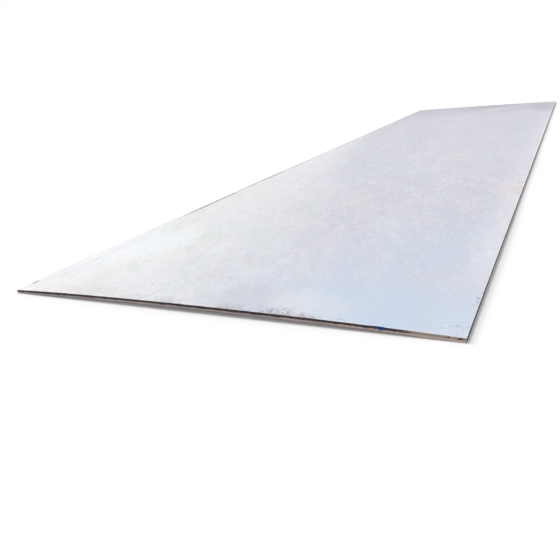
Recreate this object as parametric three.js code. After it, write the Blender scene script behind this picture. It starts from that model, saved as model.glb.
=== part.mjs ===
// One hot rolled steel plate, sheared to size on all four sides.
// X runs across the plate, Y along it and Z up, in millimetres.
// The origin is the middle of the plate's outline, at the level of its lowest point.
import * as THREE from "three";
import { mergeVertices } from "three/addons/utils/BufferGeometryUtils.js";

// The plate.
const plateWidth = 1500;
const plateLength = 6000;
const plateThickness = 12;
const cornerRadius = 3; // the four corners are knocked round in plan

// The sheared edge, from the face that the blade pressed on to the face where the tear came out.
const rolloverReach = 2.6; // the face starts to bend down this far in from the cut
const rolloverDepth = 1.1; // and has dropped this far where the cut begins
const burnishDepth = 4.4; // smooth upright band that the blade rubbed
const burnishWander = 0.7; // the band's far limit rises and falls by this much
const burnishPitch = 640; // once in this length of edge
const tearLean = 1.3; // the torn band leans in by the gap between the blades
const tearHollow = 0.3; // and is scooped out between its two limits
const burrHeight = 0.3; // lip left standing on the face where the tear came out
const burrWidth = 0.9; // width of that lip at its root

// How far the plate is from flat.
const nearArchHeight = 10; // the near end is crowned across its width
const nearArchReach = 1150; // and the crown dies out this far along the plate
const farArchHeight = 3;
const farArchReach = 700;
const waveHeight = 2; // the long sides lift clear of the floor in slow waves
const leftWaves = 5; // counted along the left side
const rightWaves = 4; // and along the right side
const waveReach = 280; // the waves die out this far in from the side
const cornerDroop = 1.5; // the corners hang down by this much, and the plate rests on them
const cornerDroopReach = 300; // the droop dies out this far from a corner

// How finely the surfaces are divided.
const columnCount = 17;
const rowCount = 47;
const rolloverSteps = 3;
const tearSteps = 3;
const levelCount = rolloverSteps + 1 + tearSteps + 1;

// The four cuts. A burr that points up is left by a cut made from underneath.
const leftCut = { inward: new THREE.Vector2(1, 0), burrUp: false, phase: 0 };
const rightCut = { inward: new THREE.Vector2(-1, 0), burrUp: false, phase: 2.3 };
const nearCut = { inward: new THREE.Vector2(0, 1), burrUp: true, phase: 3.8 };
const farCut = { inward: new THREE.Vector2(0, -1), burrUp: false, phase: 5.2 };

// Depth of the burnished band this far along a cut. It wanders as the plate slips under the blade.
function burnishAt(cut, along) {
  const turn = (2 * Math.PI * along) / burnishPitch + cut.phase;
  return burnishDepth + burnishWander * Math.sin(turn);
}

// A cut's profile as points of inset and depth, from the pressed face round to the torn face.
function cutProfile(burnish) {
  const rollover = new THREE.EllipseCurve(
    rolloverReach, rolloverDepth, rolloverReach, rolloverDepth, -Math.PI / 2, Math.PI, true,
  );
  const profile = rollover.getPoints(rolloverSteps);
  const tearStart = rolloverDepth + burnish;
  const tearEnd = plateThickness + burrHeight;
  for (let step = 0; step <= tearSteps; step += 1) {
    const share = step / tearSteps;
    const inset = tearLean * share + tearHollow * Math.sin(Math.PI * share);
    profile.push(new THREE.Vector2(inset, THREE.MathUtils.lerp(tearStart, tearEnd, share)));
  }
  profile.push(new THREE.Vector2(tearLean + burrWidth, plateThickness));
  return profile;
}

// Inset and height of one level of a cut. Level 0 is on the top face and the last level is underneath.
function cutPoint(cut, x, y, level) {
  const along = cut.inward.x ? y : x;
  const profile = cutProfile(burnishAt(cut, along));
  const point = profile[cut.burrUp ? levelCount - level : level];
  return { inset: point.x, height: cut.burrUp ? point.y : plateThickness - point.y };
}

// The cuts that a knot of the grid lies on: none on the open faces, one on a side, two at a corner.
function cutsAt(column, row) {
  const cuts = [];
  if (column === 0) cuts.push(leftCut);
  if (column === columnCount) cuts.push(rightCut);
  if (row === 0) cuts.push(nearCut);
  if (row === rowCount) cuts.push(farCut);
  return cuts;
}

// Place of a grid line across a span. The first line in from a side is where the corners start to round.
function gridLine(index, count, span) {
  if (index === 0) return -span / 2;
  if (index === count) return span / 2;
  const inner = span / 2 - cornerRadius - rolloverReach;
  return THREE.MathUtils.mapLinear(index, 1, count - 1, -inner, inner);
}

// 1 at no distance, falling smoothly to 0 at the reach.
function fade(distance, reach) {
  return distance < reach ? 0.5 + 0.5 * Math.cos((Math.PI * distance) / reach) : 0;
}

// How far a long side's waves lift the plate, this far in. They start and end in a trough at the corners.
function sideWave(waves, y, distance) {
  const turn = 2 * Math.PI * waves * (y / plateLength + 0.5);
  return waveHeight * (0.5 - 0.5 * Math.cos(turn)) * fade(distance, waveReach);
}

// How far the droop of the nearest corner lowers a place in plan.
function droop(x, y) {
  const distance = Math.hypot(plateWidth / 2 - Math.abs(x), plateLength / 2 - Math.abs(y));
  return cornerDroop * Math.max(0, 1 - distance / cornerDroopReach) ** 2;
}

// How far the plate's bends raise a place in plan, or lower it.
function lift(x, y) {
  const crown = 1 - (x / (plateWidth / 2)) ** 2;
  const near = nearArchHeight * fade(plateLength / 2 + y, nearArchReach);
  const far = farArchHeight * fade(plateLength / 2 - y, farArchReach);
  const left = sideWave(leftWaves, y, plateWidth / 2 + x);
  const right = sideWave(rightWaves, y, plateWidth / 2 - x);
  return crown * (near + far) + left + right - droop(x, y);
}

// A knot of the grid on its place on the plate's surface.
function surfacePoint(column, row, level) {
  const x = gridLine(column, columnCount, plateWidth);
  const y = gridLine(row, rowCount, plateLength);
  const place = new THREE.Vector2(x, y);
  const cuts = cutsAt(column, row);
  const rounding = cuts.length === 2 ? cornerRadius * (1 - Math.SQRT1_2) : 0;
  let height = level === 0 ? plateThickness : 0;
  if (cuts.length) height = 0;
  for (const cut of cuts) {
    const point = cutPoint(cut, x, y, level);
    place.addScaledVector(cut.inward, point.inset + rounding);
    height += point.height / cuts.length;
  }
  return new THREE.Vector3(place.x, place.y, height + lift(place.x, place.y));
}

// The plate: a box's grid drawn out over the two faces and round the four cuts, then set down on the floor.
function plateGeometry() {
  const box = new THREE.BoxGeometry(columnCount, rowCount, levelCount, columnCount, rowCount, levelCount);
  box.deleteAttribute("normal");
  box.deleteAttribute("uv");
  const knots = box.getAttribute("position");
  for (let index = 0; index < knots.count; index += 1) {
    const column = Math.round(knots.getX(index) + columnCount / 2);
    const row = Math.round(knots.getY(index) + rowCount / 2);
    const level = Math.round(levelCount / 2 - knots.getZ(index));
    const point = surfacePoint(column, row, level);
    knots.setXYZ(index, point.x, point.y, point.z);
  }
  const plate = mergeVertices(box);
  plate.computeBoundingBox();
  plate.translate(0, 0, -plate.boundingBox.min.z);
  plate.computeVertexNormals();
  return plate;
}

const milledSteel = new THREE.MeshStandardMaterial({ color: 0xd3d6df, roughness: 0.48, metalness: 0.35 });

const steelPlate = new THREE.Mesh(plateGeometry(), milledSteel);
steelPlate.name = "steel_plate";

const part = new THREE.Group();
part.add(steelPlate);
export default part;
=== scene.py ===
import math

import bpy
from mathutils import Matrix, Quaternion, Vector


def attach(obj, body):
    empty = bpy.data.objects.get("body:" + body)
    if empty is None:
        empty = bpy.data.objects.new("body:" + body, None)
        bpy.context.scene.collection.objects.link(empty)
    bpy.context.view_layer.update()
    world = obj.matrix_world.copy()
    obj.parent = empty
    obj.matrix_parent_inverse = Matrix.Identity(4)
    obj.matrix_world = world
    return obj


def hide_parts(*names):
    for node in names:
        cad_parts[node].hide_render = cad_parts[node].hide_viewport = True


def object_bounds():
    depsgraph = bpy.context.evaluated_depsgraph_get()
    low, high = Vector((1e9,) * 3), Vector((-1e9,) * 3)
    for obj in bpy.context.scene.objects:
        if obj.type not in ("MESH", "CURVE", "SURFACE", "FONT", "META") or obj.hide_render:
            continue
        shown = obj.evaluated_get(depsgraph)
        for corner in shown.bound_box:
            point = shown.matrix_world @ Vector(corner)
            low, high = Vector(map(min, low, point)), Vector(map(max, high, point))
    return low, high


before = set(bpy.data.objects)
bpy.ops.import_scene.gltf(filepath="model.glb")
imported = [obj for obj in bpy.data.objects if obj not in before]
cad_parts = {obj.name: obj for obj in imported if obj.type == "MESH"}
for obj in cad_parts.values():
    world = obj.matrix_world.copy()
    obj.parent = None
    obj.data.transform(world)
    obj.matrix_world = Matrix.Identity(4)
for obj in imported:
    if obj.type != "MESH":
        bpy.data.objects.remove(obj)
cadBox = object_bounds()
print("plate loaded:", [round(high - low, 4) for low, high in zip(*cadBox)], "m")

plate = {
    "halfWidth": cadBox[1].x,
    "halfLength": cadBox[1].y,
    "rimReach": 0.0045,  # everything this close to the outline belongs to the cut
    "endPitch": 0.0026,  # how finely the cut is divided along the two ends
    "sidePitch": 0.0045,  # and along the two long sides
    "cornerCuts": 3,
    "cutSlope": 0.75,  # faces steeper than this belong to the cut
    "lastLevel": 8,  # the cut's points are numbered 0 to 8, round from face to face
    "tear": (0.005, 0.0008),  # size of the lumps of the torn steel, and how deep they go
    "chatter": (0.03, 0.0009),  # longer waves left by the blade
    "noiseDepth": 2,  # how much detail those two have
    "lipShare": 0.35,  # how much of that roughness reaches the lips of the cut
    "weldGap": 0.00003,  # points closer than this are one
    "rowSlack": 0.0004,  # points that lie this near to the same inset are in one row
    "middleBlend": 0.1,  # how softly the looks of one half pass into those of the other
    "smoothAngle": 35,
}


def onlySelect(piece):
    bpy.ops.object.select_all(action="DESELECT")
    piece.select_set(True)
    bpy.context.view_layer.objects.active = piece


def edgeDistance(spot):
    return min(plate["halfWidth"] - abs(spot.x), plate["halfLength"] - abs(spot.y))


def copyPlate():
    # the loaded plate is loose triangles, so its copy is welded and turned back into quads
    onlySelect(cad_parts["steel_plate"])
    bpy.ops.object.duplicate()
    piece = bpy.context.view_layer.objects.active
    piece.name = "rolled_plate"
    bpy.ops.mesh.customdata_custom_splitnormals_clear()
    bpy.ops.object.mode_set(mode="EDIT")
    bpy.ops.mesh.select_all(action="SELECT")
    bpy.ops.mesh.remove_doubles(threshold=plate["weldGap"])
    bpy.ops.mesh.tris_convert_to_quads()
    bpy.ops.object.mode_set(mode="OBJECT")
    return piece


def turnAbout(spot, middle):
    # angle of a point round the cut, seen along it: upright is a quarter turn
    return math.atan2(spot.z - middle, plate["rimReach"] - edgeDistance(spot))


def cutSign(halfSpan, place):
    # -1 or 1 at the cut on that side of the middle, 0 further in
    return math.copysign(1, place) if halfSpan - abs(place) < plate["rimReach"] else 0


def rimColumns(piece):
    # the points of the cut, in columns that run from the top face to the underside
    # those of a column share their place along the edge, to the millimetre
    columns = {}
    for point in piece.data.vertices:
        spot = point.co
        if edgeDistance(spot) > plate["rimReach"]:
            continue
        side, end = cutSign(plate["halfWidth"], spot.x), cutSign(plate["halfLength"], spot.y)
        key = (side, end, 0 if side else round(spot.x, 3), 0 if end else round(spot.y, 3))
        columns.setdefault(key, []).append(point)
    for column in columns.values():
        middle = (min(point.co.z for point in column) + max(point.co.z for point in column)) / 2
        column.sort(key=lambda point: -turnAbout(point.co, middle))
    return {key: [point.index for point in column] for key, column in columns.items()}


def markCut(piece):
    # cutWalk runs 0 to 8 round the cut, from the pressed face to the torn one
    # the near end was cut from below, so it counts the other way there, and its corners stand half way
    last = plate["lastLevel"]
    levels, walks = {}, {}
    for key, column in rimColumns(piece).items():
        side, end = key[:2]
        for level, index in enumerate(column):
            levels[index] = level
            walks[index] = level
            if end < 0:
                walks[index] = last / 2 if side else last - level
    lips = [index for index, level in levels.items() if level in (1, last - 1)]
    faces = [index for index, level in levels.items() if 1 < level < last - 1]
    onCut = piece.vertex_groups.new(name="cut")
    onCut.add(lips, plate["lipShare"], "REPLACE")
    onCut.add(faces, 1, "REPLACE")
    marks = piece.data.attributes.new("cutWalk", "FLOAT", "POINT")
    for index, walk in walks.items():
        marks.data[index].value = walk
    return levels


def divide(piece, wanted, cuts=None, pitch=None):
    # subdivides the edges that pass the test, into so many cuts or down to the pitch
    onlySelect(piece)
    bpy.ops.object.mode_set(mode="EDIT")
    bpy.ops.mesh.select_mode(type="EDGE")
    bpy.ops.mesh.select_all(action="DESELECT")
    bpy.ops.object.mode_set(mode="OBJECT")
    longest = 0
    for edge in piece.data.edges:
        start, end = (piece.data.vertices[index].co for index in edge.vertices)
        edge.select = wanted(*edge.vertices, start, end)
        if edge.select:
            longest = max(longest, (end - start).length)
    bpy.ops.object.mode_set(mode="EDIT")
    bpy.ops.mesh.subdivide(number_cuts=cuts or round(longest / pitch) - 1)
    bpy.ops.object.mode_set(mode="OBJECT")


def refineCut(piece, levels):
    # the margin is the inset of the first row of points on the open faces
    insets = [edgeDistance(point.co) for point in piece.data.vertices]
    margin = min(inset for inset in insets if inset > plate["rimReach"])
    cornerSpan = 2 * margin

    def runsAlong(first, second, start, end):
        if first in levels and second in levels:
            return levels[first] == levels[second]
        return max(abs(edgeDistance(spot) - margin) for spot in (start, end)) < plate["rowSlack"]

    def cornerRun(first, second, start, end):
        return (start - end).length < cornerSpan and runsAlong(first, second, start, end)

    def endRun(first, second, start, end):
        return abs(start.x - end.x) > cornerSpan and runsAlong(first, second, start, end)

    def sideRun(first, second, start, end):
        return abs(start.y - end.y) > cornerSpan and runsAlong(first, second, start, end)

    divide(piece, cornerRun, cuts=plate["cornerCuts"])
    divide(piece, endRun, pitch=plate["endPitch"])
    divide(piece, sideRun, pitch=plate["sidePitch"])


def roughenCut(piece):
    # every push goes inwards, so the plate keeps its size
    onlySelect(piece)
    for name in ("tear", "chatter"):
        size, depth = plate[name]
        lumps = bpy.data.textures.new(name, "CLOUDS")
        lumps.noise_scale = size
        lumps.noise_depth = plate["noiseDepth"]
        press = piece.modifiers.new(name, "DISPLACE")
        press.texture = lumps
        press.texture_coords = "LOCAL"
        press.vertex_group = "cut"
        press.mid_level = 0
        press.strength = -depth
        bpy.ops.object.modifier_apply(modifier=name)


class Link:
    # an output socket that takes part in sums
    def __init__(self, nodes, socket):
        self.nodes = nodes
        self.socket = socket

    def __add__(self, other):
        return self.nodes.maths("ADD", self, other)

    def __radd__(self, other):
        return self.nodes.maths("ADD", other, self)

    def __sub__(self, other):
        return self.nodes.maths("SUBTRACT", self, other)

    def __rsub__(self, other):
        return self.nodes.maths("SUBTRACT", other, self)

    def __mul__(self, other):
        return self.nodes.maths("MULTIPLY", self, other)

    def __rmul__(self, other):
        return self.nodes.maths("MULTIPLY", other, self)

    def __truediv__(self, other):
        return self.nodes.maths("DIVIDE", self, other)

    def __rtruediv__(self, other):
        return self.nodes.maths("DIVIDE", other, self)


rollSlant = math.radians(14)  # the finer mottling runs this much aslant to the rolling direction

mottling = {
    "detail": 2,
    "rough": 0.5,
    # small, middle and large patches: lump size, stretch along X and Y, slant and curl
    "patches": [(0.045, (1, 2.4), rollSlant, 0.7), (0.13, (1, 2.8), rollSlant, 0), (0.36, (1, 3.6), 0, 0)],
}

speck = {
    "outline": (1.1, 0.32, 0.2),  # how far it sways, where it starts and where it is full, in cells
    "faintShare": 0.2,  # of the specks; the rest are at full strength
}


class Nodes:
    # the nodes of one material, or of the world
    def __init__(self, owner):
        self.owner = owner
        owner.use_nodes = True
        self.tree = owner.node_tree
        self.tree.nodes.clear()

    def node(self, kind, settings=None, inputs=None, output=0):
        # the settings come first, because they can change which sockets there are
        made = self.tree.nodes.new(kind)
        for key, value in (settings or {}).items():
            setattr(made, key, value)
        for key, value in (inputs or {}).items():
            if isinstance(value, Link):
                self.tree.links.new(value.socket, made.inputs[key])
            else:
                made.inputs[key].default_value = value
        return Link(self, made.outputs[output]) if made.outputs else None

    def maths(self, operation, first, second=0):
        return self.node("ShaderNodeMath", {"operation": operation}, {0: first, 1: second})

    def greater(self, first, second):
        return self.maths("MAXIMUM", first, second)

    def lesser(self, first, second):
        return self.maths("MINIMUM", first, second)

    def gather(self, masks):
        whole = masks[0]
        for mask in masks[1:]:
            whole = self.greater(whole, mask)
        return whole

    def place(self):
        return self.node("ShaderNodeTexCoord", output="Object")

    def axis(self, index, spot=None):
        return self.node("ShaderNodeSeparateXYZ", inputs={0: spot or self.place()}, output=index)

    def fromSide(self):
        # how far in from the nearer long side
        return plate["halfWidth"] - self.maths("ABSOLUTE", self.axis(0))

    def fromEnd(self):
        return plate["halfLength"] - self.maths("ABSOLUTE", self.axis(1))

    def rightHalf(self):
        # 1 on the right half of the plate, 0 on the left
        return self.ease(self.axis(0), 0, plate["middleBlend"])

    def nearHalf(self):
        return self.ease(self.axis(1), 0, -plate["middleBlend"])

    def ease(self, value, start, full, before=0, after=1):
        # smooth step from one strength to another, as the value goes from start to full, up or down
        settings = {"interpolation_type": "SMOOTHSTEP"}
        inputs = {0: value, 1: start, 2: full, 3: before, 4: after}
        return self.node("ShaderNodeMapRange", settings, inputs)

    def sway(self, cloud, reach):
        # a cloud's push to and fro, by half the reach each way
        return reach * (cloud - 0.5)

    def band(self, value, cloud, reach, *limits):
        # an ease whose limits are swayed by a cloud
        return self.ease(value + self.sway(cloud, reach), *limits)

    def between(self, value, low, high, soft):
        # 1 between the two limits, each as soft as this to either side
        return self.ease(value, low - soft, low + soft) * self.ease(value, high + soft, high - soft)

    def cloud(self, size, detail=3, rough=0.5, stretch=(1, 1), shift=(0, 0, 0), slant=0, curl=0):
        # soft noise with lumps of this size in metres, drawn out along X and Y by the stretch
        scale = (1 / (size * stretch[0]), 1 / (size * stretch[1]), 1 / size)
        spot = self.place()
        if slant:
            inputs = {"Vector": spot, "Rotation": (0, 0, slant)}
            spot = self.node("ShaderNodeMapping", {"vector_type": "TEXTURE"}, inputs)
        inputs = {"Vector": spot, "Location": shift, "Scale": scale}
        spot = self.node("ShaderNodeMapping", inputs=inputs)
        inputs = {"Vector": spot, "Scale": 1, "Detail": detail, "Roughness": rough, "Distortion": curl}
        return self.node("ShaderNodeTexNoise", inputs=inputs)

    def clouds(self, wanted):
        return {name: self.cloud(*settings) for name, settings in wanted.items()}

    def mottle(self, shift, *shares):
        # cloudy patches of up to three sizes, each in its share, drawn out in the rolling direction
        whole = 0
        for share, (size, stretch, slant, curl) in zip(shares, mottling["patches"]):
            patches = self.cloud(size, mottling["detail"], mottling["rough"], stretch, shift, slant, curl)
            whole = whole + share * patches
        return whole

    def specks(self, size, share, shift, wobble):
        # ragged specks, one to a cell of this size, in this share of the cells
        settings = {"voronoi_dimensions": "2D"}
        spot = self.node("ShaderNodeMapping", inputs={"Vector": self.place(), "Location": shift})
        inputs = {"Vector": spot, "Scale": 1 / size}
        distance = self.node("ShaderNodeTexVoronoi", settings, inputs)
        chance = self.node("ShaderNodeTexVoronoi", settings, inputs, output="Color")
        shape = self.band(distance, wobble, *speck["outline"])
        return shape * self.ease(chance, 1 - share, 1 - share + share * speck["faintShare"])

    def spot(self, middle, radius, wobble, keep=(1, 1, 0)):
        # a soft patch with a wobbly outline, full over a fifth of its radius
        # it is round in plan, unless the three axes are made to count for more or less
        apart = self.node("ShaderNodeVectorMath", {"operation": "SUBTRACT"}, {0: self.place(), 1: middle})
        apart = self.node("ShaderNodeVectorMath", {"operation": "MULTIPLY"}, {0: apart, 1: keep})
        apart = self.node("ShaderNodeVectorMath", {"operation": "LENGTH"}, {0: apart}, output=1)
        return self.band(apart, wobble, 2 * radius, radius, radius / 5)

    def spots(self, places, wobble, keep=(1, 1, 0)):
        # such patches, by the x and y of their middles and their radii
        return self.gather([self.spot((x, y, 0), radius, wobble, keep) for x, y, radius in places])

    def stroke(self, start, end, width, fade):
        # a straight line between two places, full over a third of its width and fading at its far end
        way = Vector(end) - Vector(start)
        turn = math.atan2(-way.x, way.y)
        inputs = {"Vector": self.place(), "Location": (*start, 0), "Rotation": (0, 0, turn)}
        local = self.node("ShaderNodeMapping", {"vector_type": "TEXTURE"}, inputs)
        across = self.maths("ABSOLUTE", self.axis(0, local))
        along = self.axis(1, local)
        mask = self.ease(across, width, width / 3) * self.ease(along, -width, 0)
        return mask * self.ease(along, way.length + fade, way.length - fade)

    def colour(self, under, over, mask):
        return self.node("ShaderNodeMix", {"data_type": "RGBA"}, {0: mask, 6: under, 7: over}, output=2)

    def seenDirectly(self):
        # 1 where the eye looks, straight on, by a reflection or through glass
        path = [self.node("ShaderNodeLightPath", output=name)
                for name in ("Is Camera Ray", "Is Glossy Ray", "Is Transmission Ray")]
        return self.gather(path)

    def surface(self, shader):
        self.node("ShaderNodeOutputMaterial", inputs={"Surface": shader})
        return self.owner

    def steel(self, paint, clouds, finish):
        # the finish names the clouds that roughen it and those that raise bumps, by how much each
        rough, bumps = finish["rough"], None
        for name, share in finish["roughenedBy"].items():
            rough = rough + share * clouds[name]
        for name, height in finish["bumps"].items():
            inputs = {"Height": clouds[name], "Distance": height}
            if bumps:
                inputs["Normal"] = bumps
            bumps = self.node("ShaderNodeBump", inputs=inputs)
        inputs = {"Base Color": paint, "Roughness": rough, "Normal": bumps,
                  "Metallic": finish["metallic"], "Specular IOR Level": finish["specular"]}
        return self.surface(self.node("ShaderNodeBsdfPrincipled", inputs=inputs))


def tone(red, green, blue):
    # a colour as it is read off a chart, 0 to 255, made linear by the sRGB curve
    def linear(level):
        share = level / 255
        return share / 12.92 if share <= 0.04045 else ((share + 0.055) / 1.055) ** 2.4
    return (linear(red), linear(green), linear(blue), 1)


# In the finishes below, a mask is given by where it starts and where it is full, then by its strengths
# at those two where they aren't 0 and 1. Where a cloud sways the mask, the reach of the sway comes first.
scaleSkin = {
    "blue": tone(205, 209, 222),
    "pink": tone(216, 210, 220),
    "pale": tone(227, 229, 234),
    "palest": tone(248, 251, 255),
    "dull": tone(198, 199, 210),
    "fleck": tone(184, 185, 198),
    "glint": tone(230, 231, 236),
    "sage": tone(213, 222, 218),  # a faint green bloom
    "paintedSheen": tone(243, 243, 240),  # painted sheen, the bright sky's reflection, that pales the left side
    "frost": tone(228, 233, 240),  # cool clouds within the painted sheen
    "cold": tone(202, 217, 237),  # the near right quarter
    "grey": tone(184, 180, 191),  # the last stretch before the far end
    "shade": tone(180, 177, 187),
    "warm": tone(229, 219, 216),
    "blush": tone(226, 212, 216),
    "rust": tone(205, 168, 168),
    # masks by the height of a cloud
    "pinkClouds": (0.36, 0.64),
    "paleClouds": (0.5, 0.66, 0, 0.5),
    "dullClouds": (0.5, 0.34, 0, 0.6),
    "streaks": (0.52, 0.75, 0, 0.12),
    # the next two vary the painted sheen on the left
    "sheenDull": (0.52, 0.34, 0, 0.1),
    "sheenFrost": (0.48, 0.64, 0, 0.5),
    "sageClouds": (0.48, 0.64),
    "darkBlotches": (0.42, 0.78, 0, 0.19),
    "paleBlotches": (0.5, 0.28, 0, 0.35),
    "darkGrain": (0.5, 0.76),
    "darkGrainShare": (0.5, 0.24),  # and how much less of it under the painted sheen
    "paleGrain": (0.5, 0.26, 0, 0.4),
    "darkGrit": (0.54, 0.7, 0, 0.34),
    "paleGrit": (0.46, 0.3, 0, 0.28),
    "coldHue": (0.62, 0.38, 0.85, 1.15),
    # masks by the place along the plate
    "hueDrift": (-1.5, 0, 0, 0.8),
    "cloudsCalm": (-2.4, -0.8, 1, 0.7),
    # the next three place the painted sheen on the left
    "sheenWidth": (0.5, -3, 0.14, 0.86),
    "sheenFar": (0.8, 2.4, 1, 0.25),
    "sheenNear": (-1.9, -2.5, 0.7, 0.82),
    "sageNear": (-0.8, -2.4, 0.3, 0.5),
    "coldNear": (1.2, -1.4, -2.9),
    "coldest": (-2.6, -2.9, 0.5, 0.8),
    "greyFar": (-0.5, 1.5, 0, 0.15),
    "greyest": (2.4, 1.9, 2.75, 0, 0.46),
    "greySway": 0.8,
    # and across it
    "coldRight": (0.5, -0.1, 0.5),
    "sheenLeft": (1.4, 0.15),  # in widths of the painted sheen
    "sheenSway": 0.2,
    # soft patches: tone, share, the cloud that ruffles them, then the x, y and radius of each
    "patches": [
        ("warm", 0.3, "drift", [(-0.52, -2.94, 0.20), (-0.36, -2.96, 0.10)]),
        ("blush", 0.26, "drift", [(-0.05, 1.10, 0.55), (-0.20, 1.90, 0.45),
                                  (0.70, -1.40, 0.22), (0.72, -0.60, 0.20)]),
        ("shade", 0.75, "wander", [(1.03, 2.50, 0.56), (0.08, 2.86, 0.36)]),
        ("dull", 0.5, "drift", [(0.12, -2.91, 0.17), (-0.40, 2.1, 0.4)]),
        ("pale", 0.5, "drift", [(0.30, -2.92, 0.17)]),
        # the palest patch adds more painted sheen at the near left corner
        ("palest", 0.34, "wander", [(-0.63, -2.47, 0.34)]),
        ("rust", 0.5, "ragged", [(0.743, -1.52, 0.04), (0.734, -1.43, 0.06),
                                 (0.743, -1.30, 0.045), (0.742, 0.35, 0.03)]),
    ],
}


def layScale(face, clouds):
    # the skin of scale: pale lavender grey that drifts between blue and pink, with grain and long streaks
    skin, x, y = scaleSkin, face.axis(0), face.axis(1)
    wander, value, drift = clouds["wander"], clouds["value"], clouds["drift"]
    hue = clouds["hue"] + face.sway(wander, face.ease(y, *skin["hueDrift"]))
    paint = face.colour(skin["blue"], skin["pink"], face.ease(hue, *skin["pinkClouds"]))
    calm = face.ease(y, *skin["cloudsCalm"])
    paint = face.colour(paint, skin["pale"], calm * face.ease(value, *skin["paleClouds"]))
    paint = face.colour(paint, skin["dull"], calm * face.ease(value, *skin["dullClouds"]))
    paint = face.colour(paint, skin["glint"], face.ease(clouds["streak"], *skin["streaks"]))

    # paler towards the left, most of all near the near end: a painted sheen, the reflection of the bright
    # sky
    fromLeft = x + plate["halfWidth"] + face.sway(wander, skin["sheenSway"])
    paintedSheen = face.ease(fromLeft / face.ease(y, *skin["sheenWidth"]), *skin["sheenLeft"])
    paintedSheen = paintedSheen * face.ease(y, *skin["sheenFar"])
    paint = face.colour(paint, skin["paintedSheen"], paintedSheen * face.ease(y, *skin["sheenNear"]))
    paint = face.colour(paint, skin["dull"], paintedSheen * face.ease(value, *skin["sheenDull"]))
    paint = face.colour(paint, skin["frost"], paintedSheen * face.ease(clouds["frost"], *skin["sheenFrost"]))

    sage = face.ease(clouds["bloom"], *skin["sageClouds"]) * face.ease(y, *skin["sageNear"])
    paint = face.colour(paint, skin["sage"], sage)
    paint = face.colour(paint, skin["fleck"], face.ease(clouds["blotch"], *skin["darkBlotches"]))
    paint = face.colour(paint, skin["glint"], face.ease(clouds["blotch"], *skin["paleBlotches"]))
    grainShare, sheenLess = skin["darkGrainShare"]
    darkGrain = face.ease(clouds["grain"], *skin["darkGrain"]) * (grainShare - sheenLess * paintedSheen)
    paint = face.colour(paint, skin["fleck"], darkGrain)
    paint = face.colour(paint, skin["glint"], face.ease(clouds["grain"], *skin["paleGrain"]))
    paint = face.colour(paint, skin["fleck"], face.ease(clouds["grit"], *skin["darkGrit"]))
    paint = face.colour(paint, skin["glint"], face.ease(clouds["grit"], *skin["paleGrit"]))

    # bluer at the near right, greyer at the far end
    cold = face.band(y, drift, *skin["coldNear"]) * face.band(x, drift, *skin["coldRight"])
    cold = cold * face.ease(y, *skin["coldest"]) * face.ease(hue, *skin["coldHue"])
    paint = face.colour(paint, skin["cold"], cold)
    greyest = face.band(y + face.sway(value, skin["greySway"]), clouds["farDrift"], *skin["greyest"])
    paint = face.colour(paint, skin["grey"], face.ease(y, *skin["greyFar"]) + greyest)
    for name, share, edge, places in skin["patches"]:
        paint = face.colour(paint, skin[name], face.spots(places, clouds[edge]) * share)
    return paint


rimWear = {
    "bright": tone(244, 242, 245),  # where the scale has come off
    "blush": tone(226, 212, 216),
    "dark": tone(96, 92, 102),  # along the left and far rims
    "slate": tone(186, 181, 191),  # along the far half of the left side
    # masks by the distance in from the edge
    "nearPale": (0.05, 0.034, 0.008),
    "rightPale": (0.08, 0.13, 0.02),
    "brushed": (0.08, 0.01),
    "nearRim": (0.008, 0.007, 0.002),
    "rightRim": (1, 0.4),  # in widths of that rim
    "rightRimSway": 0.006,
    "leftRim": (0.006, 0.021, 0.011),
    "farLeft": (0.08, 0.24, 0.01),
    "farRim": (0.04, 0.05, 0.02),
    # masks by the place along the edge
    "nearPaleAlong": (0.25, 0.45, 0.6, 0.15),
    "nearRimAlong": (0.3, 0.5, 1, 0.4),
    "rightPaleAlong": [(2.0, 1.0), (-1.6, -0.6, 1, 0.6), (-2.5, -2.8, 0.3, 0.1)],
    "brushedAlong": (-2.5, -2.8, 1, 0.3),
    "rightRimWidth": (-2.4, 0.5, 0.006, 0.014),
    "rightRimAlong": (0.8, 2.4, 1, 0.5),
    "leftRimAlong": [(-2.1, -1.85), (-0.9, -0.3, 1, 0.25)],
    "farLeftAlong": (-0.3, 1.5, 0, 0.42),
    # masks by the height of the cloud of the same name, which break the wear up
    "runs": {
        "paleRuns": (0.42, 0.56),
        "brush": (0.52, 0.68, 0, 0.5),
        "blotchyBrush": (0.42, 0.66, 0, 0.4),
        "rimRuns": (0.36, 0.52, 0.25, 0.8),
        "leftRuns": (0.42, 0.54, 0.4, 0.8),
        "farRuns": (0.40, 0.58, 0.15, 0.55),
    },
}


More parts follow.
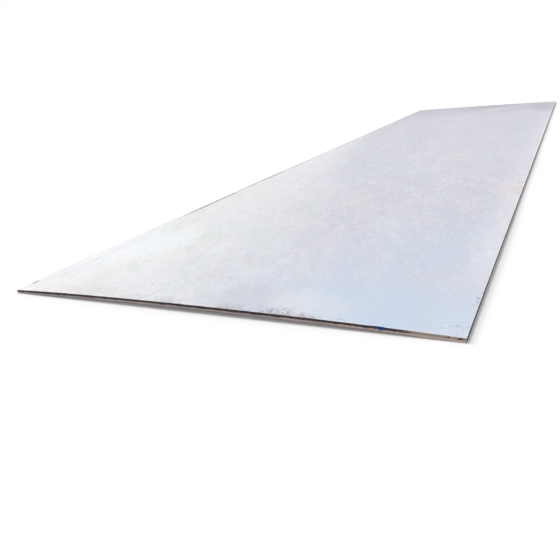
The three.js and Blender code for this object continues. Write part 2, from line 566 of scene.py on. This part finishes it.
def wearRims(face, clouds, paint):
    # bright where the scale has come off the rims, darker along the left and far rims
    wear, x, y = rimWear, face.axis(0), face.axis(1)
    side, end = face.fromSide(), face.fromEnd()
    rightHalf, nearHalf = face.rightHalf(), face.nearHalf()
    ragged = clouds["ragged"]
    runs = {name: face.ease(clouds[name], *mask) for name, mask in wear["runs"].items()}

    nearPale = face.band(end, ragged, *wear["nearPale"]) * face.ease(x, *wear["nearPaleAlong"])
    paint = face.colour(paint, wear["bright"], nearPale * nearHalf * runs["paleRuns"])
    rightPale = face.band(side, clouds["wander"], *wear["rightPale"]) * rightHalf
    for mask in wear["rightPaleAlong"]:
        rightPale = rightPale * face.ease(y, *mask)
    paint = face.colour(paint, wear["bright"], rightPale)
    brushed = face.ease(side, *wear["brushed"]) * rightHalf * face.ease(y, *wear["brushedAlong"])
    paint = face.colour(paint, wear["blush"], brushed * runs["blotchyBrush"])
    paint = face.colour(paint, wear["bright"], brushed * runs["brush"])

    swayed = side + face.sway(ragged, wear["rightRimSway"])
    rightRim = face.ease(swayed / face.ease(y, *wear["rightRimWidth"]), *wear["rightRim"])
    rightRim = rightRim * rightHalf * face.ease(y, *wear["rightRimAlong"])
    nearRim = face.band(end, ragged, *wear["nearRim"]) * nearHalf * face.ease(x, *wear["nearRimAlong"])
    paint = face.colour(paint, wear["bright"], face.greater(rightRim, nearRim) * runs["rimRuns"])
    leftRim = face.band(side, ragged, *wear["leftRim"]) * (1 - rightHalf)
    for mask in wear["leftRimAlong"]:
        leftRim = leftRim * face.ease(y, *mask)
    paint = face.colour(paint, wear["dark"], leftRim * runs["leftRuns"])
    farLeft = face.band(side, ragged, *wear["farLeft"]) * face.ease(y, *wear["farLeftAlong"])
    paint = face.colour(paint, wear["slate"], farLeft * (1 - rightHalf))
    farRim = face.band(end, ragged, *wear["farRim"]) * (1 - nearHalf)
    return face.colour(paint, wear["dark"], farRim * runs["farRuns"])


crumbHeaps = {
    "crumb": tone(124, 118, 132),
    "share": 0.8,
    # loose crumbs, and larger flakes in the grime: cell size, share of the cells and shift
    "crumbs": [(0.007, 0.3, (1, 1, 0)), (0.012, 0.14, (5, 2, 0))],
    "flakes": [(0.009, 0.6, (2, 7, 0)), (0.014, 0.45, (8, 3, 0))],
    # masks by the distance in from the near end
    "crumbReach": (0.03, 0.045, 0.004),
    "packedReach": (0.016, 0.005),
    # masks across the plate
    "flakesLeft": (-0.35, -0.2, 0, 0.42),
    "flakesRight": (0.16, 0.24, 0, 0.58),
    "packedRight": (0.2, 0.24),
    # masks by the height of a cloud
    "crumbRuns": (0.4, 0.6),
    "packedRuns": (0.38, 0.56, 0, 0.6),
}


def dropCrumbs(face, clouds):
    # crumbs of scale along the near end; where it is grimy, flakes too, and packed dirt towards the right
    heaps, x, end = crumbHeaps, face.axis(0), face.fromEnd()
    ragged, nibble = clouds["ragged"], clouds["nibble"]
    crumbs = face.gather([face.specks(*kind, nibble) for kind in heaps["crumbs"]])
    crumbs = crumbs * face.band(end, ragged, *heaps["crumbReach"]) * face.nearHalf()
    crumbs = crumbs * face.ease(clouds["crumbRuns"], *heaps["crumbRuns"])
    flakes = face.gather([face.specks(*kind, nibble) for kind in heaps["flakes"]])
    flakes = flakes * (face.ease(x, *heaps["flakesLeft"]) + face.ease(x, *heaps["flakesRight"]))
    packed = face.ease(end, *heaps["packedReach"]) * face.ease(x, *heaps["packedRight"])
    packed = packed * face.ease(ragged, *heaps["packedRuns"])
    return face.greater(crumbs, face.greater(flakes, packed) * clouds["grime"])


# the marking paint on the near end: a dab across the top rim, and a tongue that hangs from it down the cut
paintDab = {
    "onTop": tone(34, 66, 136),
    "onCut": tone(26, 58, 132),
    "across": (0.527, 0.557, 0.001),  # left limit, right limit and how soft they are
    "reach": (0.003, 0.004, 0.003),  # mask by the distance in from the near end
    "depth": 2.5,  # of the dab, in levels of the cut
    "depthSway": 3,
    "depthEnd": (0.3, -0.3),
    "tongueAt": 0.547,
    "tongue": (0.009, 0.004, 0, 2.1),  # the further depth of the tongue, by the distance from its middle
}

handling = {
    "grime": tone(160, 154, 168),
    "smudge": tone(160, 153, 167),
    "bright": tone(244, 242, 245),
    "dark": tone(96, 92, 102),
    "millBlue": tone(201, 209, 221),
    # grime along the near end, by the x, y and radius of each patch, drawn out across the plate
    "grimePlaces": [(-0.45, -2.99, 0.11), (-0.26, -3, 0.055), (-0.11, -3, 0.055),
                    (0.125, -3, 0.052), (0.255, -3, 0.062), (0.34, -3, 0.035)],
    "grimeKeep": (0.55, 1, 0),
    "grimeAcross": (0, 0.1, 0.16, 0.32),
    # grey marks that other plates have left beside the right edge and at its near corner
    "smudges": [
        (0.7466, -2.728, 0.006), (0.7400, -2.762, 0.008), (0.7430, -2.772, 0.006),
        (0.7430, -2.790, 0.008), (0.7360, -2.810, 0.006), (0.7420, -2.935, 0.004),
        (0.7370, -2.972, 0.005), (0.7240, -2.976, 0.0045), (0.7180, -2.945, 0.0045),
    ],
    "smudgeShare": 0.6,
    # the near right corner is scuffed all over
    "frayed": [(0.72, -2.955, 0.09)],
    "darkStrokes": (0.54, 0.68, 0, 0.24),
    "brightStrokes": (0.46, 0.34, 0, 0.36),
    # lines: the places that they join, how wide and how soft at the far end, and where they break up
    "millLine": [(-0.694, -2.86), (-0.680, -2.38)],  # faint, left by the mill's edge roll
    "millSize": (0.016, 0.15),
    "millRuns": (0.36, 0.6, 0, 0.36),
    "scratch": [(-0.212, -2.999), (-0.200, -2.959), (-0.183, -2.900)],  # from the near end inwards
    "scratchSize": (0.0015, 0.006),
    "scratchRuns": (0.3, 0.5, 0, 0.85),
    # short dark dash beside the left edge, drawn out along it
    "edgeDash": [(-0.7385, -2.926, 0.024)],
    "dashKeep": (3.6, 1, 0),
    "dashShare": 0.9,
}


def dirtyTop(face, clouds, paint):
    # grime, crumbs of scale and the marks that handling has left, each in its place
    marks, x, end = handling, face.axis(0), face.fromEnd()
    ragged, grain, strokes = clouds["ragged"], clouds["grain"], clouds["strokes"]
    paint = face.colour(paint, marks["grime"], clouds["grime"] * face.ease(x, *marks["grimeAcross"]))
    paint = face.colour(paint, crumbHeaps["crumb"], clouds["crumbs"] * crumbHeaps["share"])

    smudges = face.spots(marks["smudges"], grain) * marks["smudgeShare"]
    paint = face.colour(paint, marks["smudge"], smudges)
    frayed = face.spots(marks["frayed"], ragged)
    paint = face.colour(paint, marks["smudge"], face.ease(strokes, *marks["darkStrokes"]) * frayed)
    paint = face.colour(paint, marks["bright"], face.ease(strokes, *marks["brightStrokes"]) * frayed)

    millLine = face.stroke(*marks["millLine"], *marks["millSize"])
    paint = face.colour(paint, marks["millBlue"], millLine * face.ease(ragged, *marks["millRuns"]))
    bends = zip(marks["scratch"], marks["scratch"][1:])
    scratch = face.gather([face.stroke(*ends, *marks["scratchSize"]) for ends in bends])
    scratch = scratch * face.ease(grain, *marks["scratchRuns"])
    dash = face.spots(marks["edgeDash"], ragged, marks["dashKeep"]) * marks["dashShare"]
    paint = face.colour(paint, marks["dark"], face.greater(scratch, dash))
    dab = face.between(x, *paintDab["across"]) * face.band(end, ragged, *paintDab["reach"])
    return face.colour(paint, paintDab["onTop"], dab * face.nearHalf())


rolledTop = {
    # lump size, detail, roughness, stretch along X and Y, shift, slant and curl
    "clouds": {
        "wander": (0.8, 2, 0.5, (1, 2), (3, 1, 0)),
        "drift": (0.14, 3, 0.6, (1, 1.6), (3, 8, 2)),
        "farDrift": (0.3, 3, 0.6, (1, 1), (1, 1, 6)),
        "frost": (0.16, 3, 0.6, (1, 1.6), (0, 3, 8)),
        "streak": (0.016, 3, 0.6, (1, 45), (5, 0, 0)),
        "blotch": (0.03, 2, 0.5, (1, 2.2), (4, 2, 7), rollSlant, 0.9),
        "grain": (0.009, 3, 0.6, (1, 2.4), (0, 0, 0), rollSlant, 0.5),
        "grit": (0.0022, 2, 0.6, (1, 2.4), (0, 0, 0), rollSlant),
        "ragged": (0.03, 4, 0.7, (1, 1), (2, 2, 2)),
        "paleRuns": (0.12, 2, 0.6, (1, 1), (9, 4, 0)),
        "rimRuns": (0.016, 3, 0.6, (1.6, 6), (2, 6, 0)),
        "leftRuns": (0.25, 2, 0.6, (1, 1), (0, 4, 0)),
        "farRuns": (0.10, 3, 0.6, (1, 1), (7, 4, 3)),
        "crumbRuns": (0.22, 2, 0.5, (1, 1), (6, 0, 1)),
        "brush": (0.010, 3, 0.6, (6, 1), (4, 4, 0)),
        "blotchyBrush": (0.05, 3, 0.6, (1.2, 1), (4, 9, 0)),
        "strokes": (0.008, 2, 0.5, (2, 1.2), (3, 3, 1)),
        "nibble": (0.0045, 3, 0.65, (1.4, 1), (1, 9, 4)),
        "swell": (0.4, 2, 0.4),
    },
    # shift, then the shares of the small, the middle and the large patches
    "mottles": {
        "value": ((1, 7, 2), 0.35, 0.45, 0.2),
        "hue": ((8, 2, 4), 0.25, 0.45, 0.3),
        "bloom": ((6, 1, 9), 0.5, 0.5),
    },
    "rough": 0.46,
    "roughenedBy": {"value": 0.2, "grain": 0.06, "crumbs": 0.1},
    "bumps": {"swell": 0.0012, "grain": 0.0001, "grit": 0.00004, "crumbs": 0.0008},
    "metallic": 0.14,
    "specular": 0.3,
}


def makeRolledTop():
    face = Nodes(bpy.data.materials.new("mill_scale_top"))
    clouds = face.clouds(rolledTop["clouds"])
    for name, settings in rolledTop["mottles"].items():
        clouds[name] = face.mottle(*settings)
    clouds["grime"] = face.spots(handling["grimePlaces"], clouds["ragged"], handling["grimeKeep"])
    clouds["crumbs"] = dropCrumbs(face, clouds)
    paint = layScale(face, clouds)
    paint = wearRims(face, clouds, paint)
    paint = dirtyTop(face, clouds, paint)
    return face.steel(paint, clouds, rolledTop)


rolledUnder = {
    "clouds": {
        "drift": (0.2, 5, 0.62, (1, 3), (4, 12, 4)),
        "bloom": (0.3, 5, 0.65, (1, 2.2), (11, 7, 2)),
        "grain": (0.011, 3, 0.6, (1, 2.2)),
        "streak": (0.012, 3, 0.6, (1, 60), (5, 0, 0)),
    },
    "blue": tone(176, 182, 198),
    "pink": tone(196, 190, 196),
    "dull": tone(158, 160, 172),
    "bright": tone(214, 215, 222),
    "rust": tone(168, 132, 116),
    # masks by the height of a cloud
    "pinkClouds": (0.38, 0.64),
    "dullClouds": (0.52, 0.3, 0, 0.6),
    "streaks": (0.55, 0.75, 0, 0.4),
    "darkGrain": (0.52, 0.8, 0, 0.5),
    "rustClouds": (0.6, 0.74),
    "rustEdge": (0.25, 0.08, 0),  # mask by the distance in from the nearest edge
    "rustShare": 0.5,
    "rough": 0.55,
    "roughenedBy": {"bloom": 0.14, "grain": 0.06},
    "bumps": {"grain": 0.00012},
    "metallic": 0.2,
    "specular": 0.3,
}


def makeRolledUnder():
    face = Nodes(bpy.data.materials.new("mill_scale_under"))
    skin, clouds = rolledUnder, face.clouds(rolledUnder["clouds"])
    paint = face.colour(skin["blue"], skin["pink"], face.ease(clouds["drift"], *skin["pinkClouds"]))
    paint = face.colour(paint, skin["dull"], face.ease(clouds["bloom"], *skin["dullClouds"]))
    paint = face.colour(paint, skin["bright"], face.ease(clouds["streak"], *skin["streaks"]))
    paint = face.colour(paint, skin["dull"], face.ease(clouds["grain"], *skin["darkGrain"]))
    edge = face.lesser(face.fromSide(), face.fromEnd())
    rustEdge = face.band(edge, clouds["drift"], *skin["rustEdge"])
    rust = face.greater(face.ease(clouds["bloom"], *skin["rustClouds"]), rustEdge)
    paint = face.colour(paint, skin["rust"], rust * skin["rustShare"])
    return face.steel(paint, clouds, skin)


nearCut = {
    "lilac": tone(174, 166, 176),  # the smooth band at its left
    "drab": tone(176, 165, 158),  # in its middle
    "blush": tone(202, 180, 170),  # and at its right
    "chalk": tone(226, 206, 202),
    # a dark tone for pits and dirt, also laid as painted shade on the lip
    "pitAndShade": tone(84, 70, 72),
    "gouge": tone(56, 44, 44),
    "tornBrown": (tone(48, 37, 43), tone(92, 74, 74)),
    # masks across the plate
    "drabFrom": (0.5, -0.6, 0),
    "blushFrom": (0.4, 0.15, 0.6),
    "cleanFrom": (0.08, 0.60, 0.64, 1, 0.15),  # to the right it shows hardly any tear
    # masks by the height of a cloud
    "patina": (0.46, 0.62, 0, 0.7),
    "dirtRuns": (0.5, 0.48, 0.3, 0, 0.3),
    "pits": (0.58, 0.74, 0, 0.5),
    "palerBrown": (0.45, 0.65),
    # masks by the level of the cut
    "tear": (2.4, 3.45, 4.25),
    # the lip at the bottom, which faces down, takes painted shade
    "lip": (1.5, 1.4, 0.6, 0, 0.3),
    # shades of the smooth band: tone, mask across the plate and mask by the level
    "shades": [
        ("chalk", (0.5, 0.3, 0, 0.4), (3.4, 2.6)),
        ("pitAndShade", (0.5, 0.65, 0, 0.22), (3.9, 5.5)),
        ("chalk", (0.5, 0.72, 0, 0.7), (3.9, 2.8)),
    ],
    # the x, z and half height of two gouges, drawn out along the edge
    "gouges": [(0.7085, 0.0100, 0.0024), (0.7360, 0.0092, 0.0030)],
    "gougeKeep": (0.45, 0, 1),
    "gougeEdge": (0.05, 0.5),
}


def paintNearCut(cut, clouds, walk):
    # a smooth band, lilac to tan, with a dark ragged tear above it
    skin, x = nearCut, cut.axis(0)
    lumps, pits, runs = clouds["lumps"], clouds["pits"], clouds["runs"]
    smooth = cut.colour(skin["lilac"], skin["drab"], cut.band(x, runs, *skin["drabFrom"]))
    smooth = cut.colour(smooth, skin["blush"], cut.band(x, runs, *skin["blushFrom"]))
    smooth = cut.colour(smooth, skin["drab"], cut.ease(clouds["patina"], *skin["patina"]))
    smooth = cut.colour(smooth, skin["pitAndShade"], cut.band(runs, lumps, *skin["dirtRuns"]))
    smooth = cut.colour(smooth, skin["pitAndShade"], cut.ease(pits, *skin["pits"]))
    for name, across, level in skin["shades"]:
        smooth = cut.colour(smooth, skin[name], cut.ease(x, *across) * cut.ease(walk, *level))
    brown = cut.colour(*skin["tornBrown"], cut.ease(pits, *skin["palerBrown"]))
    torn = cut.band(walk, lumps, *skin["tear"]) * cut.band(x, lumps, *skin["cleanFrom"])
    paint = cut.colour(smooth, brown, torn)
    # painted shade on the downturned lip at the bottom of the cut
    paint = cut.colour(paint, skin["pitAndShade"], cut.band(walk, lumps, *skin["lip"]))
    gouges = cut.gather([cut.spot((spotX, 0, spotZ), radius, clouds["nibble"], skin["gougeKeep"])
                         for spotX, spotZ, radius in skin["gouges"]])
    return cut.colour(paint, skin["gouge"], cut.ease(gouges, *skin["gougeEdge"]))


otherCuts = {
    # the charcoal is partly the cut's own dark oxide and partly painted shade
    "charcoal": (tone(56, 52, 68), tone(84, 80, 96)),
    "tornSteel": tone(44, 40, 54),
    "rust": tone(108, 80, 72),
    "burr": tone(178, 180, 196),
    # masks by the height of a cloud
    "palerCharcoal": (0.45, 0.65),
    "rustRuns": (0.6, 0.58, 0.7, 0, 0.5),
    "burrRuns": (0.34, 0.5, 0, 0.7),
    # masks by the level of the cut
    "tear": (2, 3.8, 4.4),
    "burrLevel": (6.5, 7),
}


def paintOtherCuts(cut, clouds, walk):
    # charcoal blue, partly the dark oxide of the cut and partly painted shade, darker where torn, with a
    # bright burr along the bottom
    skin = otherCuts
    lumps, pits, runs = clouds["lumps"], clouds["pits"], clouds["runs"]
    paint = cut.colour(*skin["charcoal"], cut.ease(runs, *skin["palerCharcoal"]))
    paint = cut.colour(paint, skin["tornSteel"], cut.band(walk, lumps, *skin["tear"]))
    paint = cut.colour(paint, skin["rust"], cut.band(runs, pits, *skin["rustRuns"]))
    burr = cut.ease(walk, *skin["burrLevel"]) * cut.ease(lumps, *skin["burrRuns"])
    return cut.colour(paint, skin["burr"], burr)


shearedCut = {
    "clouds": {
        "lumps": (0.010, 4, 0.65, (1.6, 1.6)),
        "pits": (0.0035, 3, 0.6),
        "runs": (0.09, 3, 0.6),
        "patina": (0.03, 3, 0.6, (1.6, 1)),
        "nibble": (0.004,),
    },
    "nearEnd": (0.006, 0.003),  # mask by the distance in from the end
    "tornLevel": (3.8, 4.4),  # mask by the level of the cut
    "rough": 0.55,
    "roughenedBy": {"pits": 0.25},
    "bumps": {"tear": 0.0008, "pits": 0.0003},
    "metallic": 0.14,
    "specular": 0.3,
}


def makeShearedCut():
    cut = Nodes(bpy.data.materials.new("sheared_cut"))
    clouds = cut.clouds(shearedCut["clouds"])
    walk = cut.node("ShaderNodeAttribute", {"attribute_name": "cutWalk"}, output="Fac")
    nearEnd = cut.ease(cut.fromEnd(), *shearedCut["nearEnd"]) * cut.nearHalf()
    paint = cut.colour(paintOtherCuts(cut, clouds, walk), paintNearCut(cut, clouds, walk), nearEnd)

    # the marking paint comes down from the top, where the near end's walk ends
    x = cut.axis(0)
    tongue = cut.ease(cut.maths("ABSOLUTE", x - paintDab["tongueAt"]), *paintDab["tongue"])
    limit = paintDab["depth"] + tongue + cut.sway(clouds["lumps"], paintDab["depthSway"])
    fromTop = plate["lastLevel"] - walk
    dab = cut.between(x, *paintDab["across"]) * cut.ease(fromTop - limit, *paintDab["depthEnd"])
    paint = cut.colour(paint, paintDab["onCut"], dab * nearEnd)

    clouds["tear"] = clouds["lumps"] * cut.ease(walk, *shearedCut["tornLevel"])
    return cut.steel(paint, clouds, shearedCut)


def dressPlate(piece):
    piece.data.materials.clear()
    top, under, cut = range(3)
    for finish in (makeRolledTop(), makeRolledUnder(), makeShearedCut()):
        piece.data.materials.append(finish)
    for face in piece.data.polygons:
        if abs(face.normal.z) < plate["cutSlope"]:
            face.material_index = cut
        else:
            face.material_index = top if face.normal.z > 0 else under


rolledPlate = copyPlate()
refineCut(rolledPlate, markCut(rolledPlate))
roughenCut(rolledPlate)
print("cut divided and roughened:", len(rolledPlate.data.polygons), "faces")
dressPlate(rolledPlate)
onlySelect(rolledPlate)
bpy.ops.object.shade_smooth_by_angle(angle=math.radians(plate["smoothAngle"]))
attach(rolledPlate, "root")
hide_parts("steel_plate")
print("finishes laid:", len(rolledPlate.data.materials))

floor = {
    "size": 600,
    "tone": (0.98, 0.98, 0.98, 1),
    "glow": 0.07,  # lifts the lit floor to white without lighting the plate
}


def makeFloor():
    bpy.ops.object.select_all(action="DESELECT")
    bpy.ops.mesh.primitive_plane_add(size=floor["size"])
    ground = bpy.context.view_layer.objects.active
    ground.name = "shop_floor"
    pale = Nodes(bpy.data.materials.new("pale_floor"))
    matt = pale.node("ShaderNodeBsdfDiffuse", inputs={"Color": floor["tone"]})
    glow = pale.node("ShaderNodeEmission", inputs={"Strength": floor["glow"] * pale.seenDirectly()})
    ground.data.materials.append(pale.surface(pale.node("ShaderNodeAddShader", inputs={0: matt, 1: glow})))


room = {
    "walls": (1, 1, 1, 1),
    "ambient": 0.475,  # what the white walls give to every side
    "lampDistance": 5,
    "lamps": {
        "overhead": {"from": (-0.45, 0.1, 0.88), "strength": 1.2, "spread": 26},
        "window_left": {"from": (-0.8, 0.15, 0.52), "strength": 0.85, "spread": 20},
    },
}


def makeRoom():
    world = bpy.data.worlds.new("white_room")
    bpy.context.scene.world = world
    air = Nodes(world)
    strength = room["ambient"] + (1 - room["ambient"]) * air.seenDirectly()
    light = air.node("ShaderNodeBackground", inputs={"Color": room["walls"], "Strength": strength})
    air.node("ShaderNodeOutputWorld", inputs={"Surface": light})
    for name, lamp in room["lamps"].items():
        bpy.ops.object.light_add(type="SUN", location=Vector(lamp["from"]) * room["lampDistance"])
        holder = bpy.context.object
        holder.name = name
        holder.rotation_euler = Vector(lamp["from"]).to_track_quat("Z", "Y").to_euler()
        holder.data.energy = lamp["strength"]
        holder.data.angle = math.radians(lamp["spread"])


camera = {
    "place": (0.9314, -4.2008, 0.6218),
    "aim": (0.1413, -2.733, 0.0118),
    "roll": -6.22,
    "lens": 36.23,
    "sensor": 36,
}


def makeCamera():
    bpy.ops.object.camera_add(location=camera["place"])
    holder = bpy.context.object
    holder.name = "plate_camera"
    look = (Vector(camera["aim"]) - holder.location).to_track_quat("-Z", "Y")
    tilt = Quaternion((0, 0, 1), math.radians(camera["roll"]))
    holder.rotation_euler = (look @ tilt).to_euler()
    holder.data.sensor_width = camera["sensor"]
    holder.data.lens = camera["lens"]
    holder.data.clip_end = floor["size"]
    bpy.context.scene.camera = holder


makeFloor()
makeRoom()
makeCamera()
bpy.context.scene.view_settings.view_transform = "Standard"
print("floor, light and camera set")
